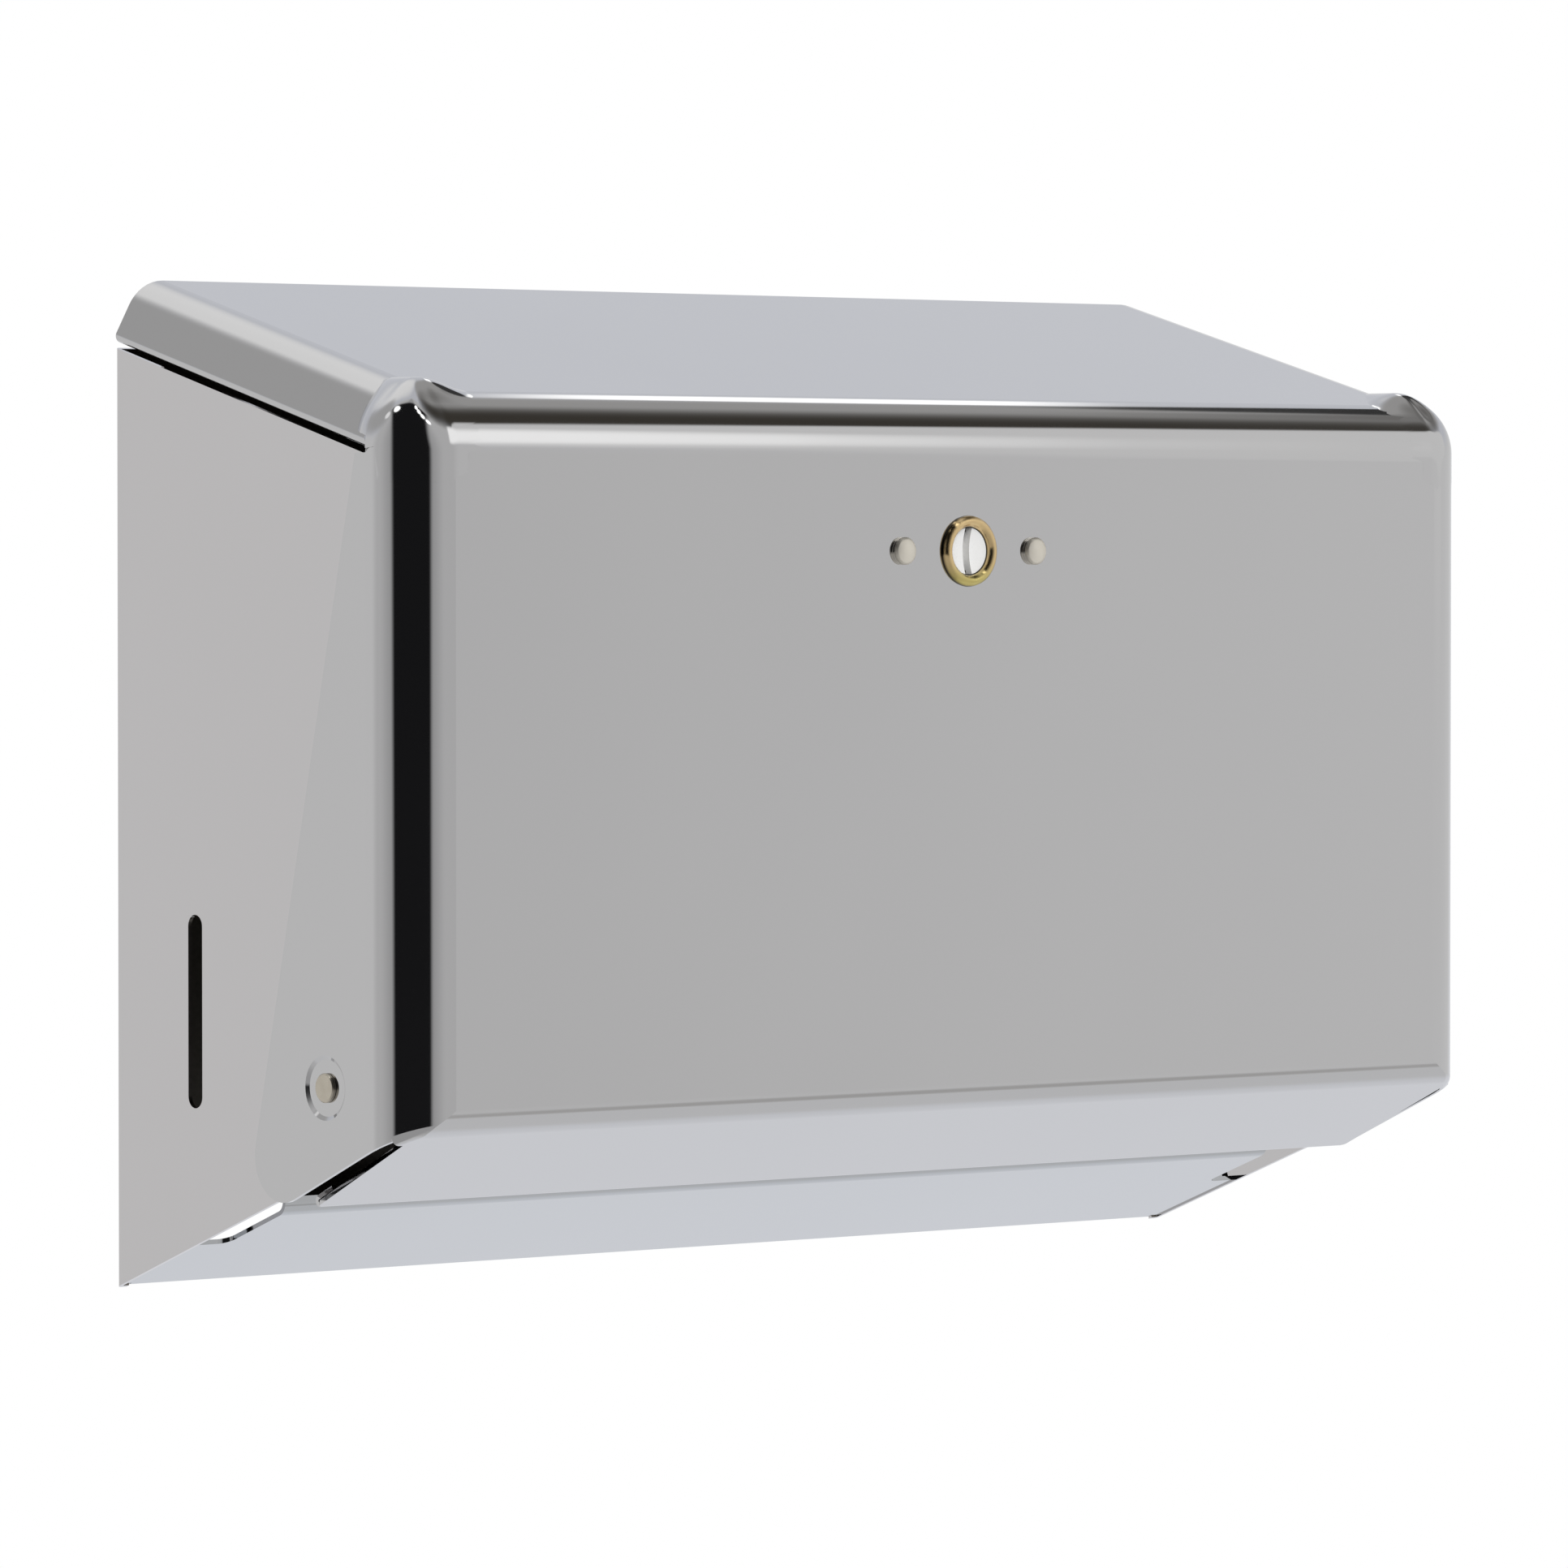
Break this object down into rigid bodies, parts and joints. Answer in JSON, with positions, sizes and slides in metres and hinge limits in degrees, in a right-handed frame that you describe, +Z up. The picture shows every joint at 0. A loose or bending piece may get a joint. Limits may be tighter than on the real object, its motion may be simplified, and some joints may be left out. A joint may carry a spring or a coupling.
{
  "type": "paper towel dispenser",
  "caption": "Wall-mounted folded paper towel dispenser in bright plated sheet steel, with a cover that swings down on side rivets and a quarter-turn lock, open at the bottom for the towels",
  "frame": {"origin": "centre of the four wall holes, on the wall plane at the cabinet's back face", "axes": "+X to the right for someone facing the dispenser, +Y into the wall, +Z up"},
  "size_m": [0.296, 0.1004, 0.2062],
  "materials": {
    "bright_steel": "bright chrome plate on pressed sheet steel",
    "zinc_steel": "zinc plate, dull",
    "yellow_brass": "bright yellow",
    "white_plastic": "satin white moulding",
    "nickel_rivet": "nickel plate, slightly warm"
  },
  "bodies": {
    "cabinet": {"cabinet_shell": "bright_steel", "bottom_tray": "bright_steel", "tie_bar": "bright_steel", "left_hinge_rivet": "nickel_rivet", "right_hinge_rivet": "nickel_rivet", "left_hinge_spacer": "zinc_steel", "right_hinge_spacer": "zinc_steel", "left_rivet_washer": "zinc_steel", "right_rivet_washer": "zinc_steel"},
    "cover": {"front_cover": "bright_steel", "lock_plate": "zinc_steel", "lock_bezel": "yellow_brass", "left_lock_rivet": "nickel_rivet", "right_lock_rivet": "nickel_rivet"},
    "lock": {"lock_plug": "white_plastic", "lock_spring_washer": "zinc_steel", "lock_cam": "zinc_steel", "cam_retainer": "zinc_steel"}
  },
  "joints": [
    {"name": "cover_hinge", "type": "hinge", "parent": "cabinet", "child": "cover", "pos_m": [0, -0.0732, -0.0557], "axis": [1, 0, 0], "range_deg": [0, 80]},
    {"name": "lock_turn", "type": "hinge", "parent": "cover", "child": "lock", "pos_m": [0, -0.099, 0.0508], "axis": [0, 1, 0], "range_deg": [0, 90]}
  ]
}
